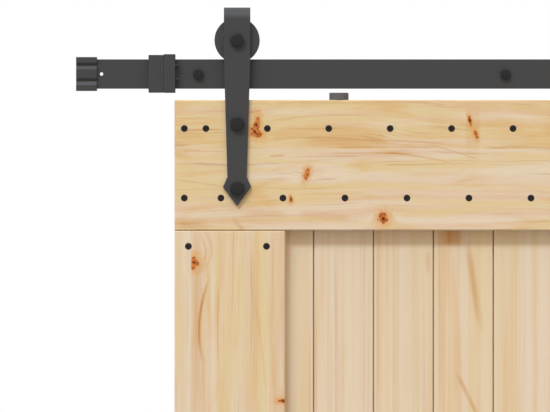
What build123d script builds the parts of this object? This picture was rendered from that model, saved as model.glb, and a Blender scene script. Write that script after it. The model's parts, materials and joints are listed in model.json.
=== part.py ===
# Sliding barn door: a framed pine leaf on two arrow-shaped strap hangers that roll along a flat rail.
# Millimetres. The origin is the middle wall bolt's axis at the wall face. +X runs along the rail,
# +Y points into the wall and +Z up, so a depth of d in front of the wall is y = -d.
import os

from build123d import *

# Rail
rail_length = 2000.0
rail_height = 40.0
rail_thickness = 6.0
rail_edge = 0.5
wall_gap = 30.0                  # wall face to the rail's back, the length of a spacer
wall_bolt_count = 5
wall_bolt_pitch = 418.35
end_hole_radius = 2.3
end_hole_inset = 31.6            # from the rail's end

# Wall bolts and their spacers
lag_radius = 4.0
lag_core_radius = 3.6            # where the thread is, in the wall
lag_clearance = 0.25
lag_in_wall = 52.0
lag_flats = 13.0
lag_head = 5.3
spacer_radius = 11.0

# End caps
cap_length = 28.5
cap_wall = 3.0
cap_top = 23.1                   # half height
cap_front = 4.5                  # stands in front of the rail
cap_back = 3.0
cap_gap = 0.1
flute_depth = 3.0
flute_tops = (15.4, -5.6)        # upper edges of the two flutes
flute_heights = (8.8, 9.5)
flute_bottom = 0.47              # where a flute is deepest, as a share of its height

# Stops
stop_from_end = 95.7             # rail's end to the clamp
clamp_width = 20.2
clamp_top = 25.8
clamp_bottom = -25.4
clamp_depths = (22.0, 47.0)      # distances from the wall
clamp_line_inset = 3.8           # shallow line on the clamp's face, from the buffer
clamp_line_height = 31.0
clamp_line_width = 0.9
clamp_line_depth = 0.4
buffer_width = 16.3
buffer_top = 26.9
buffer_bottom = -25.6
buffer_depths = (21.4, 47.4)
rib_reach = 4.5
rib_thickness = 2.0
rib_inset = 1.0
rib_heights = (12.4, -6.6)
stop_gap = 0.2                   # around the rail

# Door leaf
door_width = 950.0
door_height = 2100.0
door_left = -868.9
door_drop = 15.5                 # rail's underside to the leaf's top
door_clearance = 8.0             # wall face to the leaf's back
board_thickness = 18.0
rail_board_height = 177.6        # the horizontal boards at the top and the bottom
stile_width = 150.8
board_edge = 1.0
panel_count = 11
panel_pitch = 81.66
seam_chamfer = 1.3
seam_gap = 0.8                   # in front of a tongue, for the wood to swell
tongue_length = 7.0
tongue_thickness = 6.0
tongue_gap = 0.15

# Hangers
hanger_inset = 85.2              # leaf's edge to the strap's centre line
strap_thickness = 5.0
strap_width = 36.0
strap_crown = 44.8               # axle to the top of the bend
strap_back_drop = 18.0           # axle to the end of the back leg
strap_back_corner = 8.0
bend_radius = 16.0               # outside
neck_width = 26.3
neck_depth = 104.8               # from the leaf's top
arrow_width = 38.5
arrow_depth = 118.4
arrow_tip_depth = 144.9
arrow_round = 1.5                # at the tip
strap_bolt_depths = (32.3, 119.9)
strap_bolt_radius = 5.0
strap_hole_gap = 0.1             # around the bolts and the axle
strap_bolt_flats = 18.0
strap_bolt_head = 6.4
strap_bolt_length = 30.0         # into the wood

# Wheels and axles
axle_height = 25.9               # above the rail's top
axle_radius = 5.0
axle_flats = 17.0
axle_head = 6.4
axle_nut = 8.0
axle_tail = 2.0
tread_radius = 25.6
flange_radius = 30.8
wheel_width = 20.0
groove_width = 8.0
bearing_radius = 15.0
bearing_width = 9.0
inner_ring_radius = 8.7
running_gap = 0.05

# Discs that keep the leaf from jumping off the rail
disc_inset = 223.9
disc_radius = 13.25
disc_height = 10.0
disc_depth = 30.0

# Floor guide
guide_length = 40.0
guide_thickness = 2.5
guide_height = 35.0
guide_fold = 2.0                 # inside radius
floor_gap = 10.0                 # floor to the leaf's bottom
pad_thickness = 2.0
pad_gap = 1.2
pad_height = 16.0
pad_top = 1.0                    # below the top of the cheek
guide_hole_spacing = 22.0
guide_hole_radius = 2.6

# Worked out from the above
rail_front = wall_gap + rail_thickness
rail_middle = wall_gap + rail_thickness / 2
bolt_places = [((i - (wall_bolt_count - 1) / 2) * wall_bolt_pitch, 0) for i in range(wall_bolt_count)]
door_middle = door_left + door_width / 2
door_right = door_left + door_width
door_top = -rail_height / 2 - door_drop
door_bottom = door_top - door_height
panel_depth = door_clearance + board_thickness           # the panel's front face
door_depth = panel_depth + board_thickness               # the leaf's front face
first_seam = door_left + (door_width - panel_count * panel_pitch) / 2
wheel_height = rail_height / 2 + axle_height
wheel_places = (door_left + hanger_inset, door_right - hanger_inset)
strap_front = door_depth + strap_thickness
bend_inside = bend_radius - strap_thickness
strap_back_inner = rail_middle - bend_inside
strap_back = strap_back_inner - strap_thickness
floor_level = door_bottom - floor_gap


def front_view(depth):
    """Plane seen from the front, at a distance from the wall. Extrusions come towards the viewer."""
    return Plane.XZ.offset(depth)


def write(builder, name):
    builder.part.label = name
    export_step(builder.part, f"parts/{name}.step")


def write_pair(left, name, middle):
    """Writes a piece of the left-hand side and its mirror image about x = middle."""
    write(left, f"{name}_left")
    with BuildPart() as right:
        mirror(left.part, about=Plane.YZ.offset(middle))
    write(right, f"{name}_right")


def hexagon(flats, upright):
    """A hexagon across its flats, whose flats stand upright or lie level."""
    RegularPolygon(flats / 2, 6, major_radius=False, rotation=30 if upright else 0)


def make_rail():
    end_hole = rail_length / 2 - end_hole_inset
    with BuildPart() as rail:
        with BuildSketch(front_view(wall_gap)):
            Rectangle(rail_length, rail_height)
            with Locations(*bolt_places):
                Circle(lag_radius + lag_clearance, mode=Mode.SUBTRACT)
            with Locations((-end_hole, 0), (end_hole, 0)):
                Circle(end_hole_radius, mode=Mode.SUBTRACT)
        extrude(amount=rail_thickness)
        chamfer(rail.edges().filter_by(Axis.X), rail_edge)
    write(rail, "rail")


def make_wall_fixings():
    with BuildPart() as spacers:
        with BuildSketch(front_view(0)):
            with Locations(*bolt_places):
                Circle(spacer_radius)
                Circle(lag_radius + lag_clearance, mode=Mode.SUBTRACT)
        extrude(amount=wall_gap)
    write(spacers, "rail_spacers")

    with BuildPart() as bolts:
        with BuildSketch(front_view(rail_front)):
            with Locations(*bolt_places):
                hexagon(lag_flats, upright=True)
        extrude(amount=lag_head)
        with BuildSketch(front_view(0)):
            with Locations(*bolt_places):
                Circle(lag_radius)
        extrude(amount=rail_front)
        with BuildSketch(front_view(0)):
            with Locations(*bolt_places):
                Circle(lag_core_radius)
        extrude(amount=-lag_in_wall)
    write(bolts, "wall_bolts")


def make_end_caps():
    front = -(rail_front + cap_front)
    back = -(wall_gap - cap_back)
    outer_end = -rail_length / 2 - cap_wall
    outline = [(back, cap_top), (front, cap_top)]
    for top, height in zip(flute_tops, flute_heights):
        outline += [
            (front, top),
            (front + flute_depth, top - height * flute_bottom),
            (front, top - height),
        ]
    outline += [(front, -cap_top), (back, -cap_top)]
    with BuildPart() as cap:
        with BuildSketch(Plane.YZ.offset(outer_end)):
            with BuildLine():
                Polyline(*outline, close=True)
            make_face()
        extrude(amount=cap_length)
        rim = cap.faces().sort_by(Axis.X)[-1].edges().group_by(Axis.Y)[0]
        chamfer(rim, cap_wall / 2)
        with BuildSketch(Plane.YZ.offset(outer_end + cap_wall)):
            with Locations((-rail_middle, 0)):
                Rectangle(rail_thickness + 2 * cap_gap, rail_height + 2 * cap_gap)
        extrude(amount=cap_length, mode=Mode.SUBTRACT)
    write_pair(cap, "end_cap", 0)


def ring_round_rail(x, width, depths, bottom, top):
    """A block at x that the rail passes through, between two distances from the wall."""
    with BuildSketch(Plane.YZ.offset(x)) as section:
        with Locations((-sum(depths) / 2, (bottom + top) / 2)):
            Rectangle(depths[1] - depths[0], top - bottom)
        with Locations((-rail_middle, 0)):
            Rectangle(rail_thickness + 2 * stop_gap, rail_height + 2 * stop_gap, mode=Mode.SUBTRACT)
    extrude(section.sketch, amount=width)


def make_stops():
    """Steel clamps on the rail, each with a ribbed rubber buffer that a hanger runs into."""
    clamp_x = -rail_length / 2 + stop_from_end
    buffer_x = clamp_x + clamp_width
    face_x = buffer_x + buffer_width

    with BuildPart() as clamp:
        ring_round_rail(clamp_x, clamp_width, clamp_depths, clamp_bottom, clamp_top)
        with BuildSketch(front_view(clamp_depths[1])):
            with Locations((buffer_x - clamp_line_inset, 0)):
                Rectangle(clamp_line_width, clamp_line_height)
        extrude(amount=-clamp_line_depth, mode=Mode.SUBTRACT)
    write_pair(clamp, "stop_clamp", 0)

    rib_depth = buffer_depths[1] - rail_front - 2 * rib_inset
    with BuildPart() as bumper:
        ring_round_rail(buffer_x, buffer_width, buffer_depths, buffer_bottom, buffer_top)
        with BuildSketch(Plane.YZ.offset(face_x)):
            with Locations(*[(-rail_front - rib_inset - rib_depth / 2, z) for z in rib_heights]):
                Rectangle(rib_depth, rib_thickness)
        extrude(amount=rib_reach)
    write_pair(bumper, "stop_buffer", 0)


def board(x_low, x_high, z_low, z_high):
    """A front board with the edges of its face broken."""
    with BuildPart() as piece:
        with BuildSketch(front_view(panel_depth)):
            with Locations(((x_low + x_high) / 2, (z_low + z_high) / 2)):
                Rectangle(x_high - x_low, z_high - z_low)
        extrude(amount=board_thickness)
        chamfer(piece.faces().sort_by(Axis.Y)[0].edges(), board_edge)
    return piece


def make_frame_boards():
    top_low = door_top - rail_board_height
    bottom_high = door_bottom + rail_board_height
    write(board(door_left, door_right, top_low, door_top), "top_board")
    write(board(door_left, door_right, door_bottom, bottom_high), "bottom_board")
    stile = board(door_left, door_left + stile_width, bottom_high, top_low)
    write_pair(stile, "stile", door_middle)


def tongue_side(x):
    """Corner points up a board's right-hand side: shoulder, tongue, shoulder."""
    front, back = -panel_depth, -door_clearance
    middle, half = (front + back) / 2, tongue_thickness / 2
    return [
        (x - seam_chamfer, front), (x, front + seam_chamfer),
        (x, middle - half), (x + tongue_length, middle - half),
        (x + tongue_length, middle + half), (x, middle + half),
        (x, back - seam_chamfer), (x - seam_chamfer, back),
    ]


def groove_side(x):
    """Corner points down a board's left-hand side: shoulder, groove, shoulder."""
    front, back = -panel_depth, -door_clearance
    middle, half = (front + back) / 2, tongue_thickness / 2 + tongue_gap
    deep = x + tongue_length + 2 * tongue_gap
    return [
        (x + seam_chamfer, back), (x, back - seam_chamfer),
        (x, middle + half), (deep, middle + half),
        (deep, middle - half), (x + seam_gap, middle - half),
        (x + seam_gap, front + seam_chamfer), (x + seam_gap + seam_chamfer, front),
    ]


def plain_side(x):
    return [(x, -panel_depth), (x, -door_clearance)]


def make_panel():
    """Tongue-and-groove boards behind the frame, between two narrow edge strips."""
    seams = [first_seam + i * panel_pitch for i in range(panel_count + 1)]
    outlines = {"edge_strip_left": tongue_side(seams[0]) + plain_side(door_left)[::-1]}
    for i in range(panel_count):
        outlines[f"panel_board_{i + 1:02d}"] = tongue_side(seams[i + 1]) + groove_side(seams[i])
    outlines["edge_strip_right"] = plain_side(door_right) + groove_side(seams[-1])
    for name, outline in outlines.items():
        with BuildPart() as piece:
            with BuildSketch(Plane.XY.offset(door_bottom)):
                with BuildLine():
                    Polyline(*outline, close=True)
                make_face()
            extrude(amount=door_height)
        write(piece, name)


def make_straps():
    x = wheel_places[0]
    crown_z = wheel_height + strap_crown
    bend_z = crown_z - bend_radius
    back_z = wheel_height - strap_back_drop
    tip_z = door_top - arrow_tip_depth
    half = strap_width / 2
    with BuildPart() as strap:
        with BuildSketch(Plane.YZ.offset(x)):
            with BuildLine():
                Line((-strap_front, tip_z), (-strap_front, bend_z))
                ThreePointArc(
                    (-strap_front, bend_z), (-rail_middle, crown_z), (-strap_back, bend_z)
                )
                Polyline((-strap_back, bend_z), (-strap_back, back_z),
                         (-strap_back_inner, back_z), (-strap_back_inner, bend_z))
                ThreePointArc(
                    (-strap_back_inner, bend_z),
                    (-rail_middle, bend_z + bend_inside),
                    (-door_depth, bend_z),
                )
                Polyline((-door_depth, bend_z), (-door_depth, tip_z), (-strap_front, tip_z))
            make_face()
        extrude(amount=arrow_width, both=True)

        # The bar is cut to the arrow's outline before it is bent, so both legs share it here.
        with BuildSketch(front_view(0)) as outline:
            with BuildLine():
                right_side = [
                    (x + half, crown_z),
                    (x + half, rail_height / 2),
                    (x + neck_width / 2, door_top - neck_depth),
                    (x + arrow_width / 2, door_top - arrow_depth),
                ]
                left_side = [(2 * x - px, pz) for px, pz in reversed(right_side)]
                Polyline(*right_side, (x, tip_z), *left_side, close=True)
            make_face()
            fillet(outline.vertices().sort_by(Axis.Y)[0], arrow_round)
        extrude(amount=strap_front, mode=Mode.INTERSECT)

        back_end = strap.faces().filter_by(Axis.Z).sort_by(Axis.Y)[-1]
        fillet(back_end.edges().filter_by(Axis.Y), strap_back_corner)

        with BuildSketch(front_view(0)):
            with Locations((x, wheel_height)):
                Circle(axle_radius + strap_hole_gap)
            with Locations(*[(x, door_top - depth) for depth in strap_bolt_depths]):
                Circle(strap_bolt_radius + strap_hole_gap)
        extrude(amount=strap_front, mode=Mode.SUBTRACT)
    write_pair(strap, "hanger_strap", door_middle)


def make_strap_bolts():
    places = [(x, door_top - depth) for x in wheel_places for depth in strap_bolt_depths]
    with BuildPart() as bolts:
        with BuildSketch(front_view(strap_front)):
            with Locations(*places):
                hexagon(strap_bolt_flats, upright=True)
        extrude(amount=strap_bolt_head)
        with BuildSketch(front_view(door_depth - strap_bolt_length)):
            with Locations(*places):
                Circle(strap_bolt_radius)
        extrude(amount=strap_bolt_length + strap_thickness)
    write(bolts, "strap_bolts")


def ring(centres, depth, width, outer, inner):
    """Rings about the given centres, from a distance from the wall outwards."""
    with BuildSketch(front_view(depth)) as section:
        with Locations(*centres):
            Circle(outer)
            Circle(inner, mode=Mode.SUBTRACT)
    extrude(section.sketch, amount=width)


def make_wheels():
    """Grooved wheels, each turned in one piece, with a sealed ball bearing pressed into its bore."""
    front, back = -rail_middle - wheel_width / 2, -rail_middle + wheel_width / 2
    groove_front, groove_back = -rail_middle - groove_width / 2, -rail_middle + groove_width / 2
    bearing_depth = rail_middle - bearing_width / 2
    for side, x in zip(("left", "right"), wheel_places):
        with BuildPart() as wheel:
            with BuildSketch(Plane((x, 0, wheel_height))):
                with BuildLine():
                    Polyline(
                        (bearing_radius, front), (flange_radius, front),
                        (flange_radius, groove_front), (tread_radius, groove_front),
                        (tread_radius, groove_back), (flange_radius, groove_back),
                        (flange_radius, back), (bearing_radius, back), close=True,
                    )
                make_face()
            revolve(axis=Axis((x, 0, wheel_height), (0, 1, 0)))
        write(wheel, f"wheel_{side}")

        with BuildPart() as bearing:
            ring([(x, wheel_height)], bearing_depth, bearing_width, bearing_radius,
                 inner_ring_radius + running_gap)
        write(bearing, f"wheel_bearing_{side}")


def make_axles():
    """Axle bolts and nuts, and the bearings' long inner rings, which space the strap's two legs."""
    centres = [(x, wheel_height) for x in wheel_places]
    with BuildPart() as rings:
        ring(centres, strap_back_inner, 2 * bend_inside, inner_ring_radius, axle_radius)
    write(rings, "bearing_inner_rings")

    tail = strap_back - axle_nut - axle_tail
    with BuildPart() as bolts:
        with BuildSketch(front_view(strap_front)):
            with Locations(*centres):
                hexagon(axle_flats, upright=False)
        extrude(amount=axle_head)
        with BuildSketch(front_view(tail)):
            with Locations(*centres):
                Circle(axle_radius)
        extrude(amount=strap_front - tail)
    write(bolts, "axle_bolts")

    with BuildPart() as nuts:
        with BuildSketch(front_view(strap_back - axle_nut)):
            with Locations(*centres):
                hexagon(axle_flats, upright=False)
                Circle(axle_radius, mode=Mode.SUBTRACT)
        extrude(amount=axle_nut)
    write(nuts, "axle_nuts")


def make_discs():
    """Discs on the leaf's top edge, just under the rail."""
    places = [(door_left + disc_inset, -disc_depth), (door_right - disc_inset, -disc_depth)]
    with BuildPart() as discs:
        with BuildSketch(Plane.XY.offset(door_top)):
            with Locations(*places):
                Circle(disc_radius)
        extrude(amount=disc_height)
    write(discs, "anti_jump_discs")


def make_floor_guide():
    """A folded steel channel on the floor, whose nylon pads keep the leaf's bottom edge in line."""
    inner_front = door_depth + pad_gap + pad_thickness
    inner_back = door_clearance - pad_gap - pad_thickness
    outer_front, outer_back = inner_front + guide_thickness, inner_back - guide_thickness
    top = floor_level + guide_height
    base_top = floor_level + guide_thickness
    middle = -(inner_front + inner_back) / 2
    with BuildPart() as guide:
        with BuildSketch(Plane.YZ) as section:
            with BuildLine():
                Polyline(
                    (-outer_front, top), (-outer_front, floor_level), (-outer_back, floor_level),
                    (-outer_back, top), (-inner_back, top), (-inner_back, base_top),
                    (-inner_front, base_top), (-inner_front, top), close=True,
                )
            make_face()
            fillet(section.vertices().group_by(Axis.Y)[1], guide_fold)
            fillet(section.vertices().group_by(Axis.Y)[0], guide_fold + guide_thickness)
        extrude(amount=guide_length / 2, both=True)
        with BuildSketch(Plane.XY.offset(floor_level)):
            with Locations((-guide_hole_spacing / 2, middle), (guide_hole_spacing / 2, middle)):
                Circle(guide_hole_radius)
        extrude(amount=guide_thickness, mode=Mode.SUBTRACT)
    write(guide, "floor_guide")

    pad_middle = top - pad_top - pad_height / 2
    with BuildPart() as pads:
        with BuildSketch(Plane.YZ):
            with Locations(
                (-inner_front + pad_thickness / 2, pad_middle),
                (-inner_back - pad_thickness / 2, pad_middle),
            ):
                Rectangle(pad_thickness, pad_height)
        extrude(amount=guide_length / 2, both=True)
    write(pads, "floor_guide_pads")


os.makedirs("parts", exist_ok=True)
make_rail()
make_wall_fixings()
make_end_caps()
make_stops()
make_frame_boards()
make_panel()
make_straps()
make_strap_bolts()
make_wheels()
make_axles()
make_discs()
make_floor_guide()
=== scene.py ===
import bpy
import bmesh
import json
import math
import random
from mathutils import Matrix, Vector


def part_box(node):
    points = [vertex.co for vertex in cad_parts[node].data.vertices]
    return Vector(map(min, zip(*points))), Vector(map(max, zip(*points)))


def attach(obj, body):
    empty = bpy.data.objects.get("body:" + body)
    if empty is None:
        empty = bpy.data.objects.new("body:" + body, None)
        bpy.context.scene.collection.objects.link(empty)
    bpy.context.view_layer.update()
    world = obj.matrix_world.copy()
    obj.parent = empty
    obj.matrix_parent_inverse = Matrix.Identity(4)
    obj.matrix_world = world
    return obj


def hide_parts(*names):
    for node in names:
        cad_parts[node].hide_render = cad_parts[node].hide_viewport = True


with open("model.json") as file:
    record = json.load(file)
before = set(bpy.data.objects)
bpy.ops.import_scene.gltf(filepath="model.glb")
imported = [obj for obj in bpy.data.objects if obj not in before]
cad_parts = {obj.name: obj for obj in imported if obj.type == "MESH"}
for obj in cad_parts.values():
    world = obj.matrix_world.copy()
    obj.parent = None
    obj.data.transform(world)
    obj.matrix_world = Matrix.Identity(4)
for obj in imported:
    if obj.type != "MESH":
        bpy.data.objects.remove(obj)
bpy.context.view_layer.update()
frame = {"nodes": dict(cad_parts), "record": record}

# Lengths below are in millimetres, in the same frame as the solids: x along the rail, z up,
# and a depth is a distance in front of the wall, which is minus y.
mm = 0.001


def boxOf(node):
    low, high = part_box(node)
    return low / mm, high / mm


def inScene(name, data):
    made = bpy.data.objects.new(name, data)
    bpy.context.scene.collection.objects.link(made)
    return made


def srgb(red, green, blue):
    def linear(value):
        value /= 255
        return value / 12.92 if value <= 0.04045 else ((value + 0.055) / 1.055) ** 2.4

    return (linear(red), linear(green), linear(blue), 1)


# The photograph's view: a level camera far off on a long lens, so that nothing converges.
camera = {
    "middle": (-732.1, -179.8),  # what the picture's centre shows, x and z
    "width": 748.6,  # of the leaf's front plane across the picture
    "lens": 500,
    "sensor": 36,
}
lights = {
    # The key is a wide strip high up, made of suns side by side: how far to the left each one
    # stands, and how strong it is. Together they soften what a side casts, but not what a top casts.
    "strip": ((0.12, 0.4), (0.3, 0.49), (0.5, 0.44), (0.72, 0.39), (0.95, 0.39)),
    "keyColour": (0.85, 0.97, 1.14),
    "rise": 1.27,  # its height over its distance in front
    "angle": 10.5,  # degrees, of each sun
    "top": 0.65,  # a wide soft lamp straight above
    "topAngle": 60,
    "skyTop": 0.83,
    "skyBottom": 0.3,
    "skyColour": (1.23, 1, 0.75, 1),
    "floorTones": ((0.61, 0.64, 0.665, 1), (0.58, 0.61, 0.63, 1)),
    "floorBounce": 0.34,  # tone of the floor for the light that it throws back
    "floorPatch": 250,  # size of the two tones' patches
    "floorRadius": 9000,
    "floorFade": (2600, 6500),  # where the floor goes over into the background
}


def operators(operation):
    # One of Wire's operators and its reflected form.
    def forward(self, other):
        return self.tree.maths(operation, self, other)

    def reflected(self, other):
        return self.tree.maths(operation, other, self)

    return forward, reflected


class Wire:
    # A socket in a sum. Each operator adds the node that works it out.
    __add__, __radd__ = operators("ADD")
    __sub__, __rsub__ = operators("SUBTRACT")
    __mul__, __rmul__ = operators("MULTIPLY")
    __truediv__, __rtruediv__ = operators("DIVIDE")
    __pow__, __rpow__ = operators("POWER")

    def __init__(self, tree, socket):
        self.tree, self.socket = tree, socket


class Tree:
    # The nodes of a material or of the world.
    def __init__(self, nodeTree):
        self.nodes, self.links = nodeTree.nodes, nodeTree.links

    def node(self, kind, settings=None, sockets=None, out=0):
        made = self.nodes.new(kind)
        for name, value in (settings or {}).items():
            setattr(made, name, value)
        for name, value in (sockets or {}).items():
            self.plug(made.inputs[name], value)
        return Wire(self, made.outputs[out]) if made.outputs else None

    def plug(self, target, value):
        if isinstance(value, Wire):
            self.links.new(value.socket, target)
        elif hasattr(target.default_value, "__len__") and not hasattr(value, "__len__"):
            target.default_value = [value] * len(target.default_value)
        else:
            target.default_value = value

    def maths(self, operation, *values):
        vectors = any(isinstance(v, Wire) and v.socket.type != "VALUE" for v in values)
        kind = "ShaderNodeVectorMath" if vectors else "ShaderNodeMath"
        return self.node(kind, {"operation": operation}, dict(enumerate(values)))

    def parts(self, vector):
        split = self.node("ShaderNodeSeparateXYZ", sockets={0: vector}).socket.node
        return [Wire(self, socket) for socket in split.outputs]

    def joined(self, x, y, z):
        return self.node("ShaderNodeCombineXYZ", sockets={0: x, 1: y, 2: z})

    def noise(self, where, scale, detail=2, rough=0.5, warp=0):
        return self.node("ShaderNodeTexNoise", {"noise_dimensions": "3D"}, {
            "Vector": where, "Scale": scale, "Detail": detail, "Roughness": rough, "Distortion": warp,
        })

    def bands(self, value, scale, detail=2, rough=0.5):
        # Irregular bands along one number, such as the rings of a tree.
        return self.node("ShaderNodeTexNoise", {"noise_dimensions": "1D"}, {
            "W": value, "Scale": scale, "Detail": detail, "Roughness": rough,
        })

    def ramp(self, value, low, high, first=0, last=1):
        return self.node("ShaderNodeMapRange", {"interpolation_type": "SMOOTHSTEP"}, {
            0: value, 1: low, 2: high, 3: first, 4: last,
        })

    def mix(self, share, first, second):
        return self.node("ShaderNodeMix", {"data_type": "RGBA"}, {0: share, 6: first, 7: second}, out=2)

    def bump(self, height, depth):
        # depth is how far, in millimetres, a height of 1 stands out.
        return self.node("ShaderNodeBump", sockets={"Height": height, "Distance": depth * mm})


class Look(Tree):
    # A finish, and the slot that it stands for in the record.
    def __init__(self, name, slot):
        self.material = bpy.data.materials.new(name)
        self.material.use_nodes = True
        self.slot = slot
        super().__init__(self.material.node_tree)
        self.shader = self.nodes["Principled BSDF"]

    def set(self, **values):
        for name, value in values.items():
            spaced = "".join(" " + c if c.isupper() else c for c in name).strip()
            self.plug(self.shader.inputs[spaced.replace("I O R", "IOR")], value)

    def place(self):
        # Where a point is on the solid at rest, in millimetres.
        return self.node("ShaderNodeTexCoord", out="Object") * (1 / mm)


print("camera and light")


def makeCamera():
    data = bpy.data.cameras.new("camera")
    data.lens = camera["lens"]
    data.sensor_width = camera["sensor"]
    away = camera["width"] * camera["lens"] / camera["sensor"]
    front = boxOf("top_board")[0].y
    x, z = camera["middle"]
    seer = inScene("camera", data)
    seer.location = Vector((x, front - away, z)) * mm
    seer.rotation_euler = (math.pi / 2, 0, 0)
    data.clip_end = 100
    bpy.context.scene.camera = seer


def makeSun(name, strength, angle, whence):
    data = bpy.data.lights.new(name, "SUN")
    data.angle = math.radians(angle)
    data.energy = strength
    data.color = lights["keyColour"]
    lamp = inScene(name, data)
    lamp.rotation_mode = "QUATERNION"
    lamp.rotation_quaternion = Vector(whence).to_track_quat("Z", "Y")


def makeWorld():
    # White to the camera and in reflections, and a soft even sky for what it lights.
    world = bpy.data.worlds.new("studio")
    world.use_nodes = True
    bpy.context.scene.world = world
    world.node_tree.nodes.clear()
    tree = Tree(world.node_tree)
    seen = 0
    for name in ("Is Camera Ray", "Is Glossy Ray", "Is Transmission Ray"):
        seen = tree.maths("MAXIMUM", seen, tree.node("ShaderNodeLightPath", out=name))
    up = tree.parts(tree.node("ShaderNodeTexCoord", out="Generated"))[2]
    level = tree.node("ShaderNodeMapRange", sockets={
        "Value": up, "From Min": -1, "To Min": lights["skyBottom"], "To Max": lights["skyTop"],
    })
    sky = tree.node("ShaderNodeBackground", sockets={"Color": lights["skyColour"], "Strength": level})
    white = tree.node("ShaderNodeBackground", sockets={"Color": (1, 1, 1, 1)})
    both = tree.node("ShaderNodeMixShader", sockets={0: seen, 1: sky, 2: white})
    tree.node("ShaderNodeOutputWorld", sockets={"Surface": both})


def makeFloor():
    solid = bmesh.new()
    bmesh.ops.create_circle(solid, cap_ends=True, segments=96, radius=lights["floorRadius"] * mm)
    mesh = bpy.data.meshes.new("floor")
    solid.to_mesh(mesh)
    floor = inScene("floor", mesh)
    floor.location.z = boxOf("floor_guide")[0].z * mm

    look = Look("floor", None)
    x, y, z = look.parts(look.place())
    fade = look.ramp((x * x + y * y) ** 0.5, *lights["floorFade"])
    tone = look.mix(look.noise(look.joined(x, y, 0), 1 / lights["floorPatch"]), *lights["floorTones"])
    cameraRay = look.node("ShaderNodeLightPath", out="Is Camera Ray")
    bounce = [lights["floorBounce"]] * 3 + [1]
    look.set(BaseColor=look.mix(cameraRay, bounce, tone), Roughness=0.7)
    both = look.node("ShaderNodeMixShader", sockets={
        0: fade * cameraRay, 1: Wire(look, look.shader.outputs[0]), 2: look.node("ShaderNodeEmission"),
    })
    look.plug(look.nodes["Material Output"].inputs["Surface"], both)
    mesh.materials.append(look.material)


makeCamera()
for toTheLeft, strength in lights["strip"]:
    makeSun("key", strength, lights["angle"], (-toTheLeft, -1, lights["rise"]))
makeSun("top", lights["top"], lights["topAngle"], (0, 0, 1))
makeWorld()
makeFloor()
bpy.context.scene.view_settings.view_transform = "Standard"

print("finishes")

pine = {
    "cream": srgb(221, 206, 181),
    "rose": srgb(218, 193, 167),
    "straw": srgb(217, 196, 146),
    "honey": srgb(213, 177, 122),
    "line": srgb(180, 132, 84),
    "halo": srgb(213, 160, 92),
    "knot": srgb(203, 122, 54),
    "knotRim": srgb(164, 80, 26),
    "knotCore": srgb(92, 40, 12),
    "resin": srgb(198, 142, 78),
    "endGrain": srgb(196, 160, 116),
    "pithDepth": 130,  # how far behind the face the middle of the tree is
    "broadRings": 17,
    "fineRings": 6,
    # Figures of the wood: how long and how wide they are, and where in the noise they start.
    "wander": (520, 120, 0),  # slow bends of the rings
    "ripple": (95, 16, 11),  # quick ones
    "shown": (130, 13, 57),  # where the lines of the rings show
    "yellow": (230, 20, 31),
    "patches": (120, 30, 83),
    "fibre": (24, 0.8, 0),
    "fuzz": (4, 4, 0),
    "wanderBy": 80,
    "rippleBy": 7,
    "mottle": 4.6,  # size of the flecks in a knot
    "staveTone": 0.1,  # how much yellower the second stave is
    "staveShift": 137,
}


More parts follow.
